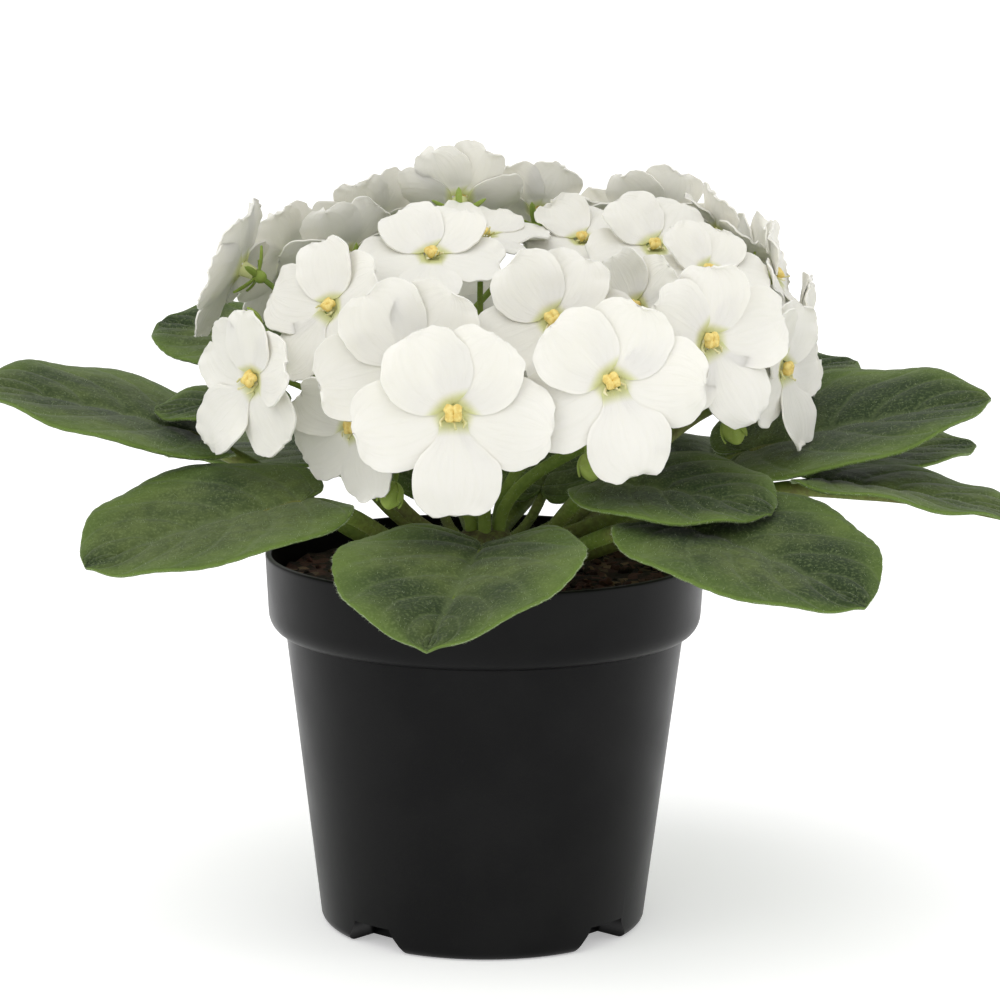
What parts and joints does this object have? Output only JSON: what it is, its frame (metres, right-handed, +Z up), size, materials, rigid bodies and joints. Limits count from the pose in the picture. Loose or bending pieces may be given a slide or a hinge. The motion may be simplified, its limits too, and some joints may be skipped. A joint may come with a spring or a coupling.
{
  "type": "potted african violet",
  "caption": "Potted african violet: a dome of white lobed blooms over a rosette of broad hairy leaves, in soil in a round plastic grow pot that stands on its flat foot.",
  "frame": {"origin": "centre of the pot's flat underside", "axes": "+Z up; -Y towards the plant's front, where the lowest leaf hangs over the rim; +X to the right, seen from the front"},
  "size_m": [0.2563, 0.2183, 0.1968],
  "materials": {
    "pot": "satin black plastic",
    "soil": "loose brown potting mix of peat and bark",
    "crown": "short woody stem, hairy",
    "leaf": "dark green, quilted and hairy",
    "stalk": "light green, hairy",
    "petal": "soft white petals around yellow anthers"
  },
  "bodies": {
    "root": {"pot": "pot", "soil": "soil", "crown": "crown", "leaf_01": "leaf", "leaf_02": "leaf", "leaf_03": "leaf", "leaf_04": "leaf", "leaf_05": "leaf", "leaf_06": "leaf", "leaf_07": "leaf", "leaf_08": "leaf", "leaf_09": "leaf", "leaf_10": "leaf", "leaf_11": "leaf", "leaf_12": "leaf", "leaf_13": "leaf", "leaf_14": "leaf", "leaf_15": "leaf", "leaf_16": "leaf", "leaf_17": "leaf", "leaf_18": "leaf", "flower_stalk_1": "stalk", "flower_stalk_2": "stalk", "flower_stalk_3": "stalk", "flower_stalk_4": "stalk", "flower_stalk_5": "stalk", "bloom_01": "petal", "bloom_02": "petal", "bloom_03": "petal", "bloom_04": "petal", "bloom_05": "petal", "bloom_06": "petal", "bloom_07": "petal", "bloom_08": "petal", "bloom_09": "petal", "bloom_10": "petal", "bloom_11": "petal", "bloom_12": "petal", "bloom_13": "petal", "bloom_14": "petal", "bloom_15": "petal", "bloom_16": "petal", "bloom_17": "petal", "bloom_18": "petal", "bloom_19": "petal", "bloom_20": "petal", "bloom_21": "petal", "bloom_22": "petal", "bloom_23": "petal", "bloom_24": "petal", "bloom_25": "petal", "bloom_26": "petal", "bloom_27": "petal", "bloom_28": "petal", "bloom_29": "petal", "bloom_30": "petal", "bloom_31": "petal", "bloom_32": "petal", "bloom_33": "petal", "bloom_34": "petal"}
  },
  "joints": []
}
